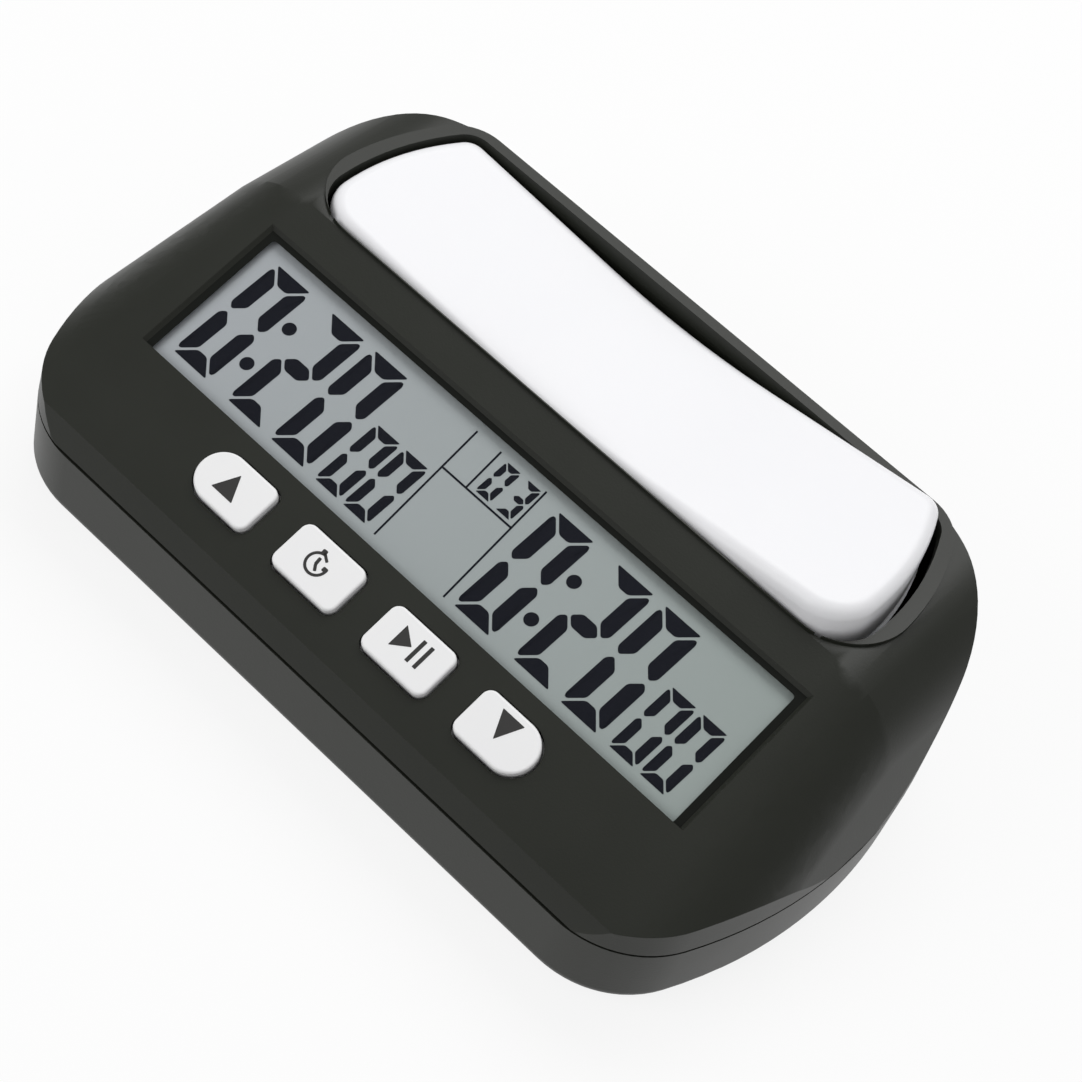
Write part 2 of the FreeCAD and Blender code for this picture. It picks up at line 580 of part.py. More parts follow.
hub = rod("hub", "hub_radius", "2 * hub_half", "0", "pivot_y - hub_half", "0", ALONG_Y)
hub_web = box("hub_web", "3", "2 * hub_half", "rocker_apex - 1", "0", "pivot_y", "0")
pushers = []
for side in ("-", ""):
    pushers.append(box("pusher_%s" % ("left" if side else "right"), "pusher_length", "pusher_width",
                       "pusher_reach + 2 * rocker_apex", side + "switch_x", "pivot_y", "-pusher_reach"))
ribs = []
for number, x in enumerate(("-switch_x - 10", "-switch_x / 2", "switch_x / 2", "switch_x + 10")):
    ribs.append(box("rib_%d" % number, "1.2", "rocker_back - rocker_front - 2", "12", x, "pivot_y",
                    "rocker_apex - 3"))
rib_trim = common("rocker_ribs", fuse("rib_set", hub_web, *(pushers + ribs)),
                  fuse("rocker_space", rocker_body, hollow_body))
rocker_lever = cut("rocker_lever",
                   fuse("rocker_parts", cut("rocker_shell", rocker_body, hollow_body), rib_trim, hub),
                   rod("hub_bore", "axle_radius + pivot_fit", "40", "0", "pivot_y - 20", "0", ALONG_Y))
rocker_lever.Placement = Placement(Vector(0, 0, size("pivot_z")),
                                   Rotation(Vector(0, 1, 0), -size("rocker_tilt")))

clip_y = "hub_half + post_gap + post_thick + clip_gap"
rocker_axle = rod("rocker_axle", "axle_radius", "2 * (%s + clip_thick + axle_end)" % clip_y, "0",
                  "pivot_y - (%s + clip_thick + axle_end)" % clip_y, "pivot_z", ALONG_Y)
clips = []
for side, start in (("front", "pivot_y - (%s) - clip_thick" % clip_y), ("rear", "pivot_y + %s" % clip_y)):
    disc = rod("clip_disc_" + side, "clip_radius", "clip_thick", "0", start, "pivot_z", ALONG_Y)
    hole = rod("clip_hole_" + side, "axle_radius", "clip_thick + 1", "0", start + " - 0.5", "pivot_z",
               ALONG_Y)
    mouth = box("clip_mouth_" + side, "1.8", "3", "clip_radius + 1", "0", start, "pivot_z")
    clips.append(cut("clip_" + side, disc, hole, mouth))
axle_clips = group("axle_clips", *clips)

# ---------------------------------------------------------------- switches under the wings
sub_top = "sub_board_z + board_thick"
switch_board = cut("switch_board",
                   box("switch_board_blank", "sub_board_length", "sub_board_width", "board_thick", "0",
                       "pivot_y", "sub_board_z"),
                   *[rod("sub_way_%d" % number, "small_screw + small_way", "4", x, "pivot_y",
                         "sub_board_z - 1")
                     for number, x in enumerate(("-sub_post_x", "sub_post_x"))])
bodies = []
for side in ("-", ""):
    tag = "left" if side else "right"
    blank = box("switch_block_" + tag, "switch_size", "switch_size", "switch_height", side + "switch_x",
                "pivot_y", sub_top)
    way = rod("switch_way_" + tag, "plunger_radius + 0.1", "switch_height", side + "switch_x", "pivot_y",
              sub_top + " + 1.2")
    bodies.append(cut("switch_" + tag, blank, way))
rocker_switches = group("rocker_switches", *bodies)
left_tip = "pivot_z - switch_x * sin(rocker_tilt) - pusher_reach * cos(rocker_tilt) - plunger_gap"
plunger_left = rod("plunger_left", "plunger_radius", "%s - (%s + plunger_seat)" % (left_tip, sub_top), "-switch_x",
                   "pivot_y", sub_top + " + plunger_seat")
plunger_right = rod("plunger_right", "plunger_radius", "%s - (%s + plunger_seat)" % (left_tip, sub_top), "switch_x",
                    "pivot_y", sub_top + " + plunger_seat + plunger_travel")

# ---------------------------------------------------------------- display stack and main board
display_window = on_panel(group("display_window", box(
    "window_sheet", "window_width", "window_height", "window_thick", "0", "0", "stack_gap")))
display_glass = on_panel(group("display_glass", box(
    "glass_cell", "glass_width", "glass_height", "glass_thick", "0", "0", "-glass_thick")))
display_reflector = on_panel(group("display_reflector", box(
    "reflector_sheet", "view_width", "view_height - 4", "reflector_thick", "0", "0",
    "-glass_thick - reflector_thick")))
frame_top = "panel_under - stack_gap"
display_frame = cut("display_frame",
                    box("frame_blank", "glass_width + 2 * (frame_wall + frame_gap)",
                        "glass_height + 2 * (frame_wall + frame_gap)", "board_drop + (%s)" % frame_top,
                        "0", "0", "-board_drop"),
                    box("frame_hole", "glass_width + 2 * frame_gap", "glass_height + 2 * frame_gap", "20",
                        "0", "0", "-10"))
frame_pegs = []
peg_holes = []
for number, (x, y) in enumerate((a, b) for a in ("-", "") for b in ("-", "")):
    spot_x = x + "(glass_width / 2 - peg_from_end)"
    spot_y = y + "(glass_height / 2 + frame_gap + frame_wall / 2)"
    frame_pegs.append(rod("frame_peg_%d" % number, "peg_radius", "board_thick + peg_end", spot_x, spot_y,
                          "-board_drop - board_thick - peg_end"))
    peg_holes.append(rod("peg_hole_%d" % number, "peg_radius + peg_fit", "board_thick + 2", spot_x, spot_y,
                         "-board_drop - board_thick - 1"))
display_frame = on_panel(fuse("display_frame_body", display_frame, *frame_pegs))
strips = []
for side in ("-", ""):
    strips.append(box("strip_%s" % ("front" if side else "rear"), "strip_length", "strip_width",
                      "board_drop - glass_thick", "0", side + "((glass_height - strip_width) / 2 - 0.3)",
                      "-board_drop"))
contact_strips = on_panel(group("contact_strips", *strips))
board_y = "(board_back + board_front) / 2"
main_board = on_panel(cut(
    "main_board",
    fuse("board_blank",
         box("board_sheet", "board_width", "board_back - board_front", "board_thick", "0", board_y,
             "-board_drop - board_thick"),
         box("board_ears", "2 * ear_reach", "ear_width", "board_thick", "0", "ear_y",
             "-board_drop - board_thick")),
    *(peg_holes + [rod("board_way_%d" % number, "small_screw + small_way", "6", x, y, "-board_drop - 4")
                   for number, (x, y) in enumerate(BOARD_SCREWS)])))
under_board = "-board_drop - board_thick"
chip_base = box("chip_base", "chip_length", "chip_width", "chip_thick", "chip_x", "chip_y",
                under_board + " - chip_thick")
chip_cap = rod("chip_cap", "chip_cap_radius", "2 * chip_thick", "chip_x", "chip_y",
               under_board + " - 2 * chip_thick")
clock_chip = on_panel(fuse("clock_chip", chip_base, chip_cap))
crystal = on_panel(group("crystal", rod("crystal_can", "crystal_radius", "crystal_length", "crystal_x",
                                       "crystal_y", under_board + " - crystal_radius", ALONG_X)))
capacitors = on_panel(group("capacitors", *[
    rod("capacitor_%d" % number, "capacitor_radius", "capacitor_height", "capacitor_x",
        "capacitor_y %s capacitor_pitch / 2" % sign, under_board + " - capacitor_height")
    for number, sign in enumerate("-+")]))

mat_sheet = box("mat_sheet", "2 * outer_key_end + 4", "key_height + 2 * key_flange", "mat_thick",
                "key_shift", "key_y", "-board_drop")
dome_top = "panel_under - stack_gap - flange_thick"
domes = []
for number in range(4):
    x = "(%s) * key_pitch + key_shift" % (number - 1.5)
    dome = doc.addObject("Part::Cone", "dome_%d" % number)
    bind(dome, Radius1="dome_radius", Radius2="dome_radius * 0.6", Height="board_drop + (%s)" % dome_top)
    domes.append(at(dome, x, "key_y", "-board_drop"))
dome_mat = on_panel(fuse("dome_mat", mat_sheet, *domes))

caps = []
for key in KEYS:
    stem = key_prism(key + "_cap", key, "panel_under - stack_gap - 0.1",
                     "wall + stack_gap + 0.1 + key_proud")
    rim = key_prism(key + "_rim", key, dome_top, "flange_thick", size("key_flange"))
    round_edges(stem, stem.Tip, key + "_round", "key_round",
                lambda z: z.ZMin > size("display_sink") + size("key_proud") - 0.01)
    caps.append(on_panel(fuse(key, stem, rim)))

small_screws = []
for number, (x, y) in enumerate(BOARD_SCREWS):
    small_screws.append(fuse("board_screw_%d" % number,
                             rod("board_shank_%d" % number, "small_screw", "board_thick + small_grip", x, y,
                                 under_board),
                             rod("board_head_%d" % number, "small_head", "small_head_height", x, y,
                                 under_board + " - small_head_height")))
board_screws = on_panel(group("board_screws", *small_screws))
sub_screws = []
for number, x in enumerate(("-sub_post_x", "sub_post_x")):
    sub_screws.append(fuse("sub_screw_%d" % number,
                           rod("sub_shank_%d" % number, "small_screw", "board_thick + sub_grip", x,
                               "pivot_y", sub_top + " - board_thick - sub_grip"),
                           rod("sub_head_%d" % number, "small_head", "small_head_height", x, "pivot_y",
                               sub_top)))
switch_board_screws = group("switch_board_screws", *sub_screws)

# ---------------------------------------------------------------- power
can = rod("cell_can", "cell_radius", "cell_length - nub_length", "-cell_length / 2", "cell_y", cell_z, ALONG_X)
nub = rod("cell_nub", "nub_radius", "nub_length + 0.1", "cell_length / 2 - nub_length - 0.1", "cell_y", cell_z,
          ALONG_X)
battery = fuse("battery", can, nub)
coils = []
for number in range(5):
    coil = doc.addObject("Part::Torus", "coil_%d" % number)
    coil.Placement = Placement(Vector(), ALONG_X)
    bind(coil, Radius1="coil_radius - coil_taper * %d" % number, Radius2="wire_radius")
    coils.append(at(coil, "-cell_length / 2 - spring_space + coil_step * %d" % (number + 1), "cell_y", cell_z))
spring_x = "-cell_length / 2 - spring_space"
contact_low = cell_z + " - contact_height / 2"
contact_top = cell_z + " + contact_height / 2 + 0.05"
spring_plate = box("spring_plate", "contact_thick", "contact_width", "contact_height", spring_x + " + 0.3",
                   "cell_y", contact_low)
battery_spring = fuse("battery_spring", spring_plate, *coils)
plate_x = "cell_length / 2 + plate_thick / 2 + 0.05"
battery_plate = group("battery_plate", box("plate_sheet", "contact_thick", "contact_width",
                                           "contact_height", plate_x, "cell_y", contact_low))
leads = []
for tag, x in (("left", "-cell_length / 2 - spring_space + 0.5"), ("right", plate_x)):
    leads.append(rod("lead_" + tag, "lead_radius", "lead_length", x, "cell_y", contact_top))
battery_leads = group("battery_leads", *leads)
power_switch = cut("power_switch",
                   box("power_block", "knob_length + power_travel + 5", "knob_width + 3", "4.5",
                       "power_x + power_travel / 2", "power_y", "floor_top"),
                   box("power_space", "knob_length + power_travel + 2 * knob_gap", "knob_width + 2 * knob_gap",
                       "2.5", "power_x + power_travel / 2", "power_y", "floor_top - 0.5"))
power_knob = group("power_knob", box("knob", "knob_length", "knob_width", "floor + knob_reach", "power_x",
                                     "power_y", "foot_height + knob_sink"))
buzzer = fuse("buzzer",
              cut("buzzer_cup", rod("buzzer_rim", "buzzer_radius", "buzzer_height", "buzzer_x", "buzzer_y",
                                    "floor_top"),
                  rod("buzzer_space", "buzzer_radius - buzzer_wall", "buzzer_height - buzzer_wall",
                      "buzzer_x", "buzzer_y", "floor_top - 0.1")),
              rod("buzzer_disc", "buzzer_radius - 2 * buzzer_wall", "disc_thick", "buzzer_x", "buzzer_y",
                  "floor_top + buzzer_height - buzzer_wall - disc_thick + 0.1"))
drop_y = "rocker_front - ribbon_gap"
ribbon_top = "display_z + (%s - ribbon_thick / 2 - display_y) * tan(panel_angle)" % drop_y
ribbon_top += " - (board_drop + board_thick) / cos(panel_angle) - 0.05"
ribbon = fuse("ribbon_cable",
              box("ribbon_drop", "ribbon_width", "ribbon_thick", "%s - (%s)" % (ribbon_top, sub_top),
                  "ribbon_x", drop_y, sub_top),
              box("ribbon_run", "ribbon_width", "pivot_y - (%s)" % drop_y, "ribbon_thick", "ribbon_x",
                  "(pivot_y + %s) / 2" % drop_y, sub_top))

NODES = {
    "top_case": top_case, "bottom_case": bottom_case, "battery_door": battery_door,
    "rocker_lever": rocker_lever, "rocker_axle": rocker_axle, "axle_clips": axle_clips,
    "switch_board": switch_board, "rocker_switches": rocker_switches, "plunger_left": plunger_left,
    "plunger_right": plunger_right, "switch_board_screws": switch_board_screws,
    "display_window": display_window, "display_glass": display_glass, "display_reflector": display_reflector,
    "display_frame": display_frame, "contact_strips": contact_strips, "main_board": main_board,
    "clock_chip": clock_chip, "crystal": crystal, "capacitors": capacitors, "dome_mat": dome_mat,
    "key_up": caps[0], "key_timer": caps[1], "key_play_pause": caps[2], "key_down": caps[3],
    "board_screws": board_screws, "battery": battery, "battery_spring": battery_spring,
    "battery_plate": battery_plate, "battery_leads": battery_leads, "power_switch": power_switch,
    "power_knob": power_knob, "buzzer": buzzer,
    "ribbon_cable": ribbon, "case_screws": case_screws, "rubber_feet": rubber_feet,
}
for name, item in NODES.items():
    item.Label = name
doc.recompute()
for item in doc.Objects:
    if "Invalid" in item.State or "Error" in item.State:
        raise RuntimeError("%s did not build: %s" % (item.Name, item.State))
os.makedirs("parts", exist_ok=True)
for name, item in NODES.items():
    if item.Shape.isNull() or not item.Shape.isValid():
        raise RuntimeError("%s has no valid shape" % name)
    item.Shape.exportStep("parts/%s.step" % name)
    print(name, len(item.Shape.Solids), round(item.Shape.Volume, 2))
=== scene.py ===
import bmesh
import bpy
import json
import math
from mathutils import Matrix, Vector


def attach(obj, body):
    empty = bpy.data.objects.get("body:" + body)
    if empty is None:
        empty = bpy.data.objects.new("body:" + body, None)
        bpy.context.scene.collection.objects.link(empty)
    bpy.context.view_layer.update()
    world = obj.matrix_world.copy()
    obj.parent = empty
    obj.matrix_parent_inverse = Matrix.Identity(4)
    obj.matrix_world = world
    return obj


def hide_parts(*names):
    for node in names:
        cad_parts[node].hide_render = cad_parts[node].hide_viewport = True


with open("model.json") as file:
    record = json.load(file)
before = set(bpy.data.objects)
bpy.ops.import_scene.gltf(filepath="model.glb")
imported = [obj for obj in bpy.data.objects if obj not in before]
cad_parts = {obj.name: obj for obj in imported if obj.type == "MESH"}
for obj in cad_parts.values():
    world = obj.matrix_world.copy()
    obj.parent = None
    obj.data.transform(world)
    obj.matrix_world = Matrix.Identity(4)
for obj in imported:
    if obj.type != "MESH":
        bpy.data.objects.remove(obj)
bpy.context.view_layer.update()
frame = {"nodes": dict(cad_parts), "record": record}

MM = 0.001
TILT = math.radians(20.0)          # slope of the display panel
DISPLAY_Y = -11.1 * MM             # centre of the display face
DISPLAY_Z = 25.704 * MM
PANEL = Matrix.Translation((0, DISPLAY_Y, DISPLAY_Z)) @ Matrix.Rotation(TILT, 4, "X")
CREASE_Y = -38.1 * MM              # where the panel turns down into the front wall
PARTING_Z = 13.5 * MM              # where the two shells meet

# Heights square to the panel, in millimetres above the display face.
MASK_LIFT = 0.9                    # the dark border under the window, painted shade of the recess walls
DISPLAY_SINK = 1.5                 # the panel itself
KEY_RISE = 1.0                     # how far the keys stand out of the panel
KEY_TOP = DISPLAY_SINK + KEY_RISE


# ------------------------------------------------------------------ colours and nodes
def colour(hexa):
    """An sRGB hex colour as linear RGBA."""
    values = [int(hexa[i:i + 2], 16) / 255 for i in (0, 2, 4)]
    linear = [v / 12.92 if v <= 0.04045 else ((v + 0.055) / 1.055) ** 2.4 for v in values]
    return (*linear, 1.0)


def node(tree, kind, settings=None, **inputs):
    """Adds one node. Settings are its own properties. Inputs are values or sockets, by the input's
    name, or by its number after an i."""
    item = tree.nodes.new(kind)
    for name, value in (settings or {}).items():
        setattr(item, name, value)
    for name, value in inputs.items():
        key = int(name[1:]) if name[0] == "i" and name[1:].isdigit() else name.replace("_", " ")
        if isinstance(value, bpy.types.NodeSocket):
            tree.links.new(value, item.inputs[key])
        else:
            item.inputs[key].default_value = value
    return item


def new_material(name):
    """An empty material with its output node."""
    material = bpy.data.materials.new(name)
    material.use_nodes = True
    tree = material.node_tree
    tree.nodes.clear()
    return material, tree, node(tree, "ShaderNodeOutputMaterial")


def coordinates(tree, scale=(1.0, 1.0, 1.0)):
    """Object coordinates, drawn out along an axis where the scale there is small."""
    place = node(tree, "ShaderNodeTexCoord")
    mapping = node(tree, "ShaderNodeMapping", Vector=place.outputs["Object"], Scale=scale)
    return mapping.outputs["Vector"]


CLOUD_SIZE = 14 * MM               # where the melt flowed, a moulding is lighter or darker over this size
SHEEN_SPREAD = 0.03                # and duller or brighter by this much
SCATTER_DEPTH = 1.0 * MM           # how far light soaks into a pale plastic


def moulded(name, shade, light, roughness, grain_mm, depth_mm, specular=0.5, subsurface=0.0):
    """Injection moulded plastic: a faint mottling of the colour and the spark-eroded grain of its mould.
    The real grain is about 0.05 mm wide, so it is drawn several times as coarse, as it has to show."""
    material, tree, out = new_material(name)
    where = coordinates(tree)
    cloud = node(tree, "ShaderNodeTexNoise", Vector=where, Scale=1 / CLOUD_SIZE, Detail=3.0, Roughness=0.55)
    tint = node(tree, "ShaderNodeMix", {"data_type": "RGBA"}, i0=cloud.outputs["Fac"], i6=colour(shade),
                i7=colour(light))
    grain = node(tree, "ShaderNodeTexNoise", Vector=where, Scale=1 / (grain_mm * MM), Detail=2.0,
                 Roughness=0.6)
    bump = node(tree, "ShaderNodeBump", Height=grain.outputs["Fac"], Strength=1.0, Distance=depth_mm * MM)
    sheen = node(tree, "ShaderNodeMapRange", Value=cloud.outputs["Fac"], To_Min=roughness - SHEEN_SPREAD,
                 To_Max=roughness + SHEEN_SPREAD)
    surface = node(tree, "ShaderNodeBsdfPrincipled", Base_Color=tint.outputs[2], Roughness=sheen.outputs[0],
                   Normal=bump.outputs["Normal"])
    surface.inputs["Specular IOR Level"].default_value = specular
    surface.inputs["Subsurface Weight"].default_value = subsurface
    surface.inputs["Subsurface Radius"].default_value = (1.0, 1.0, 1.0)
    surface.inputs["Subsurface Scale"].default_value = SCATTER_DEPTH
    tree.links.new(surface.outputs[0], out.inputs["Surface"])
    return material


POLISHED = 0.06                    # how much smoother a metal is between its scratches
SCRATCHED = 0.08                   # and how much rougher in them


def metal(name, shade, light, roughness, grain_mm, stretch=(1.0, 1.0, 1.0)):
    """Plated, rolled or drawn metal: fine scratches make its reflection brighter and duller in turn."""
    material, tree, out = new_material(name)
    where = coordinates(tree, stretch)
    scratch = node(tree, "ShaderNodeTexNoise", Vector=where, Scale=1 / (grain_mm * MM), Detail=4.0)
    tint = node(tree, "ShaderNodeMix", {"data_type": "RGBA"}, i0=scratch.outputs["Fac"], i6=colour(shade),
                i7=colour(light))
    rough = node(tree, "ShaderNodeMapRange", Value=scratch.outputs["Fac"],
                 To_Min=roughness - POLISHED, To_Max=roughness + SCRATCHED)
    surface = node(tree, "ShaderNodeBsdfPrincipled", Base_Color=tint.outputs[2], Roughness=rough.outputs[0])
    surface.inputs["Metallic"].default_value = 1.0
    tree.links.new(surface.outputs[0], out.inputs["Surface"])
    return material


WINDOW_WAVE = 30 * MM              # a moulded window is never quite flat: its waves are this long
WAVE_DEPTH = 0.05 * MM
ACRYLIC_IOR = 1.45


def clear(name, shade, roughness, reflection):
    """Clear moulded window: what lies behind shows as it is, with a trace of reflection on top."""
    material, tree, out = new_material(name)
    where = coordinates(tree)
    wave = node(tree, "ShaderNodeTexNoise", Vector=where, Scale=1 / WINDOW_WAVE, Detail=1.0)
    bump = node(tree, "ShaderNodeBump", Height=wave.outputs["Fac"], Strength=0.2, Distance=WAVE_DEPTH)
    through = node(tree, "ShaderNodeBsdfTransparent", Color=colour(shade))
    shine = node(tree, "ShaderNodeBsdfGlossy", Color=colour("ffffff"), Roughness=roughness,
                 Normal=bump.outputs["Normal"])
    edge = node(tree, "ShaderNodeFresnel", IOR=ACRYLIC_IOR, Normal=bump.outputs["Normal"])
    share = node(tree, "ShaderNodeMath", {"operation": "MULTIPLY"}, i0=edge.outputs[0], i1=reflection)
    mixed = node(tree, "ShaderNodeMixShader", i0=share.outputs[0], i1=through.outputs[0],
                 i2=shine.outputs[0])
    tree.links.new(mixed.outputs[0], out.inputs["Surface"])
    return material


REFLECTION_FADE_HALF = 50 * MM                # the painted reflection fades over this length, from its middle to each end
FLECK_SIZE = 0.25 * MM             # grain of its reflecting film
FLECK_SHARE = 0.03                 # how much lighter and darker that grain is


def lcd_with_painted_reflection(name, near, far):
    """The cell: a flat silvery grey under a painted reflection, lighter and lilac at its left end, darker
    and greenish at its right.
    """
    material, tree, out = new_material(name)
    where = coordinates(tree)
    along = node(tree, "ShaderNodeSeparateXYZ", Vector=where)
    share = node(tree, "ShaderNodeMapRange", Value=along.outputs["X"], From_Min=-REFLECTION_FADE_HALF,
                 From_Max=REFLECTION_FADE_HALF)
    fleck = node(tree, "ShaderNodeTexNoise", Vector=where, Scale=1 / FLECK_SIZE, Detail=1.0)
    # Painted reflection: the grey is lighter and lilac at the left end and darker and greenish at the
    # right, standing in for the room reflected in the cell.
    tint = node(tree, "ShaderNodeMix", {"data_type": "RGBA"}, i0=share.outputs[0], i6=colour(near),
                i7=colour(far))
    faint = node(tree, "ShaderNodeMapRange", Value=fleck.outputs["Fac"], To_Min=1 - FLECK_SHARE,
                 To_Max=1 + FLECK_SHARE)
    shade = node(tree, "ShaderNodeVectorMath", {"operation": "SCALE"}, i0=tint.outputs[2],
                 Scale=faint.outputs[0])
    surface = node(tree, "ShaderNodeBsdfPrincipled", Base_Color=shade.outputs[0], Roughness=0.5)
    surface.inputs["Specular IOR Level"].default_value = 0.1
    tree.links.new(surface.outputs[0], out.inputs["Surface"])
    return material


# What each finish gives the eye stands above it.
# A dark olive black with a broad soft sheen.
black_abs = moulded("black satin ABS", "1e201a", "242620", 0.40, 0.35, 0.012, specular=0.30)
# Clean white with a soft gloss, a little light inside it.
white_abs = moulded("white glossy ABS", "f1f1f4", "f4f4f6", 0.30, 0.6, 0.003, specular=0.3, subsurface=0.1)
# The same white, slightly duller.
white_key = moulded("white key ABS", "f3f3f4", "f6f6f6", 0.38, 0.5, 0.003, specular=0.3)
MATERIALS = {
    "case_plastic": black_abs,
    "lever_plastic": white_abs,
    "key_plastic": white_key,
    # Clear all over, seen only by a trace of shine.
    "window": clear("clear acrylic window", "fafbfb", 0.05, 0.02),
    # Silvery and flat, with hardly a highlight, under a painted reflection that fades from lighter at the
    # left to darker and greenish at the right.
    "lcd": lcd_with_painted_reflection("liquid crystal grey with painted reflection", "b7b9bd", "a8afac"),
    # Light metal with streaks from front to back.
    "reflector": metal("brushed reflector foil", "a9acab", "c0c3c2", 0.4, 0.4, (1.0, 0.05, 1.0)),
    # Milky white, dull.
    "frame_plastic": moulded("white polystyrene", "dcdcd6", "e6e6e0", 0.45, 0.5, 0.004),
    # Dull pink.
    "elastomer": moulded("pink contact rubber", "b98e93", "caa1a5", 0.6, 0.3, 0.01),
    # Deep green lacquer with a clear sheen.
    "board": moulded("green solder mask", "0c4a24", "14602f", 0.35, 1.2, 0.01),
    # Wet-looking black drop.
    "resin": moulded("black potting resin", "101010", "181818", 0.18, 2.0, 0.01),
    # Cool grey metal, slightly cloudy.
    "steel": metal("zinc plated steel", "8d9092", "b4b7b9", 0.32, 0.3),
    # Warm bright metal.
    "nickel": metal("nickel plated spring steel", "b3afa6", "cfccc4", 0.22, 0.3),
    # Dark blue, glossy and tight.
    "capacitor_sleeve": moulded("blue shrink sleeve", "14223f", "1b2d52", 0.3, 0.8, 0.004),
    # Greyish white, dull, with light soaking in.
    "silicone": moulded("milky silicone", "c2c6c8", "d0d4d6", 0.55, 0.6, 0.01, subsurface=0.2),
    # Plain dull black.
    "switch_plastic": moulded("black nylon", "161616", "202020", 0.5, 0.3, 0.008),
    # Yellowish white, dull.
    "plunger_plastic": moulded("ivory nylon", "cfcdc2", "dcdacf", 0.45, 0.4, 0.005),
    # Dark green, glossy film.
    "cell_wrap": moulded("green cell sleeve", "1c4a2a", "256037", 0.28, 1.0, 0.003),
    # Yellow metal with rolling lines from front to back.
    "brass": metal("rolled brass", "a98546", "c8a562", 0.3, 0.25, (1.0, 0.1, 1.0)),
    # Mid grey, dull.
    "cable": moulded("grey ribbon insulation", "7d7f83", "909296", 0.5, 0.5, 0.006),
    # Strong red with a soft gloss.
    "lead": moulded("red wire insulation", "8c1512", "a41d19", 0.4, 0.5, 0.004),
    # Soft black with hardly a highlight.
    "foot_rubber": moulded("black rubber", "141414", "1d1d1d", 0.75, 0.25, 0.03),
}
for part in frame["record"]["subparts"]:
    item = frame["nodes"][part["node"]]
    item.data.materials.clear()
    item.data.materials.append(MATERIALS[part["material_slot"]])


# ------------------------------------------------------------------ ways of working
def start_clean():
    """Nothing stays selected, so the next operator acts only on its own piece."""
    if bpy.context.object and bpy.context.object.mode != "OBJECT":
        bpy.ops.object.mode_set(mode="OBJECT")
    bpy.ops.object.select_all(action="DESELECT")


def work_on(piece):
    """The piece alone is selected and active."""
    start_clean()
    piece.select_set(True)
    bpy.context.view_layer.objects.active = piece
    return piece


def pick_edges(piece, wanted):
    """Selects the edges of the piece in edit mode that the test asks for."""
    mesh = bmesh.from_edit_mesh(piece.data)
    bpy.ops.mesh.select_all(action="DESELECT")
    bpy.context.tool_settings.mesh_select_mode = (False, True, False)
    for edge in mesh.edges:
        if len(edge.link_faces) == 2 and wanted(edge):
            edge.select_set(True)
    bmesh.update_edit_mesh(piece.data)


def middle(edge):
    return (edge.verts[0].co + edge.verts[1].co) / 2


def bend(edge):
    """How far the surface turns across the edge, in degrees; hollow edges count as none."""
    if not edge.is_convex:
        return 0.0
    return math.degrees(edge.calc_face_angle(0.0))


def finish_with(piece, kind, name, **settings):
    """Adds a modifier to the active piece and applies it."""
    modifier = piece.modifiers.new(name, kind)
    for key, value in settings.items():
        setattr(modifier, key, value)
    bpy.ops.object.modifier_apply(modifier=modifier.name)


MERGE = 0.002 * MM                 # corners of the CAD triangles that lie this close are one
FLAT = math.radians(0.3)           # faces that turn less than this are one face
SHARP = math.radians(32.0)         # edges that turn more than this get the fine rounding
SMOOTH = math.radians(40.0)        # and those that still turn more than this stay crisp


def moulding(name, body, rims=(), edge=0.18, clamped=True):
    """A finer form of a CAD node: its triangles become whole faces, then the rims get their wide
    rounding and every sharp edge the fine one that a moulding has. Each rim is a test for its
    edges, a width in millimetres and a number of segments."""
    source = frame["nodes"][name]
    piece = source.copy()
    piece.data = source.data.copy()
    piece.parent = None
    piece.matrix_world = source.matrix_world.copy()
    piece.name = name + "_moulding"
    bpy.context.collection.objects.link(piece)
    work_on(piece)
    bpy.ops.object.mode_set(mode="EDIT")
    bpy.ops.mesh.select_all(action="SELECT")
    bpy.ops.mesh.remove_doubles(threshold=MERGE)
    bpy.ops.mesh.dissolve_limited(angle_limit=FLAT)
    for wanted, width, rounds in rims:
        pick_edges(piece, wanted)
        bpy.ops.mesh.bevel(offset=width * MM, segments=rounds, affect="EDGES", clamp_overlap=clamped)
    bpy.ops.object.mode_set(mode="OBJECT")
    finish_with(piece, "BEVEL", "edge_rounding", width=edge * MM, segments=2, limit_method="ANGLE",
                angle_limit=SHARP, use_clamp_overlap=True)
    bpy.ops.object.shade_smooth_by_angle(angle=SMOOTH)
    finish_with(piece, "WEIGHTED_NORMAL", "even_shading", keep_sharp=True)
    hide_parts(name)
    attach(piece, body)
    return piece


# ------------------------------------------------------------------ case, lever and keys
def front_crease(edge):
    """The long straight crease between the panel and the front wall."""
    ends_apart = abs(edge.verts[0].co.x - edge.verts[1].co.x)
    return abs(middle(edge).y - CREASE_Y) < 0.3 * MM and ends_apart > 5 * MM


SHOULDER_LOW = PARTING_Z + 1.2 * MM    # the shoulder's edge runs between these two heights,
SHOULDER_HIGH = 32 * MM
END_X = 55 * MM                        # and further out than this
FRONT_Y = -36 * MM                     # or further forward than this


def corner_roll(edge):
    """The edge that carries the front crease round the corners up to the ends."""
    place = middle(edge)
    outside = abs(place.x) > END_X or place.y < FRONT_Y
    return 12 < bend(edge) < 80 and SHOULDER_LOW < place.z < SHOULDER_HIGH and outside


def top_edges(edge):
    return front_crease(edge) or corner_roll(edge)


WING_LOW = 27 * MM                     # the lever's rim lies above this height


def wing_rim(edge):
    """The outer top edge of the lever: one face looks up and the other out."""
    if bend(edge) < 50:
        return False
    normals = sorted(abs(face.normal.z) for face in edge.link_faces)
    return normals[0] < 0.3 and normals[1] > 0.9 and middle(edge).z > WING_LOW


ROLL = 2.2                             # width in millimetres of the wide rounding on case and lever

moulding("top_case", "case", [(top_edges, ROLL, 6)], edge=0.2)
moulding("bottom_case", "case", edge=0.15)
moulding("rocker_lever", "lever", [(wing_rim, ROLL, 8)], edge=0.2, clamped=False)


# ------------------------------------------------------------------ printed marks
INK_THICK = 0.03                   # millimetres


